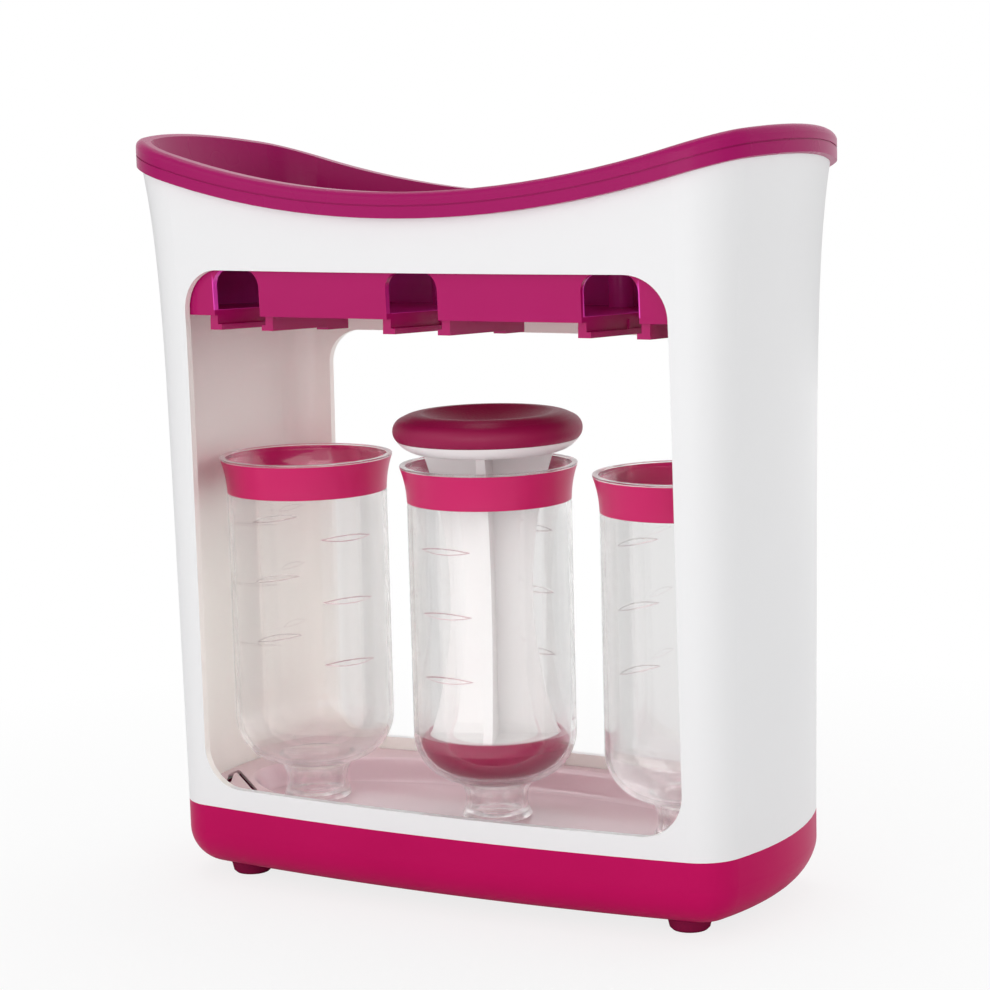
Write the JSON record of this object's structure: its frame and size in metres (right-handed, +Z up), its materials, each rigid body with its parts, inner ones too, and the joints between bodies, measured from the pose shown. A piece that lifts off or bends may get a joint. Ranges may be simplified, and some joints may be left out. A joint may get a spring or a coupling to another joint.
{
  "type": "food pouch filler",
  "caption": "Countertop station that stores clear food tubes and a plunger, for pressing puree through the tubes' nozzles into spouted pouches hung under its saddle-shaped tray.",
  "frame": {"origin": "on the surface that the station stands on, below the middle of its casing", "axes": "+X to the right along the row of tubes, -Y towards the front window, +Z up"},
  "size_m": [0.2272, 0.1114, 0.2475],
  "materials": {
    "white_gloss": "smooth gloss",
    "magenta_gloss": "smooth gloss",
    "deep_magenta_gloss": "smooth gloss",
    "floor_gloss": "high gloss",
    "clear_plastic": "clear, polished",
    "magenta_soft_touch": "soft satin",
    "magenta_silicone": "soft gloss",
    "dark_rubber": "matte",
    "steel": "zinc plated"
  },
  "bodies": {
    "root": {"housing": "white_gloss", "base_tub": "magenta_gloss", "floor_insert": "floor_gloss", "foot_left_front": "dark_rubber", "foot_left_rear": "dark_rubber", "foot_right_front": "dark_rubber", "foot_right_rear": "dark_rubber", "base_screws": "steel"},
    "top_tray": {"top_tray": "magenta_gloss", "bracket_frame": "deep_magenta_gloss"},
    "tube_left": {"tube_left": "clear_plastic", "collar_left": "magenta_gloss"},
    "tube_centre": {"tube_centre": "clear_plastic", "collar_centre": "magenta_gloss"},
    "tube_right": {"tube_right": "clear_plastic", "collar_right": "magenta_gloss"},
    "plunger": {"plunger_stem": "white_gloss", "plunger_seal": "magenta_silicone", "plunger_head": "white_gloss", "plunger_grip": "magenta_soft_touch"}
  },
  "joints": [
    {"name": "tray_lift", "type": "slide", "parent": "root", "child": "top_tray", "axis": [0, 0, 1], "range_m": [0, 0.08]},
    {"name": "left_tube_out", "type": "slide", "parent": "root", "child": "tube_left", "axis": [0.3473, -0.8597, 0.3746], "range_m": [0, 0.1064]},
    {"name": "centre_tube_out", "type": "slide", "parent": "root", "child": "tube_centre", "axis": [0, -0.9397, 0.342], "range_m": [0, 0.1596]},
    {"name": "right_tube_out", "type": "slide", "parent": "root", "child": "tube_right", "axis": [-0.3473, -0.8597, 0.3746], "range_m": [0, 0.1064]},
    {"name": "plunger_draw", "type": "slide", "parent": "tube_centre", "child": "plunger", "axis": [0, 0, 1], "range_m": [0, 0.024]}
  ]
}
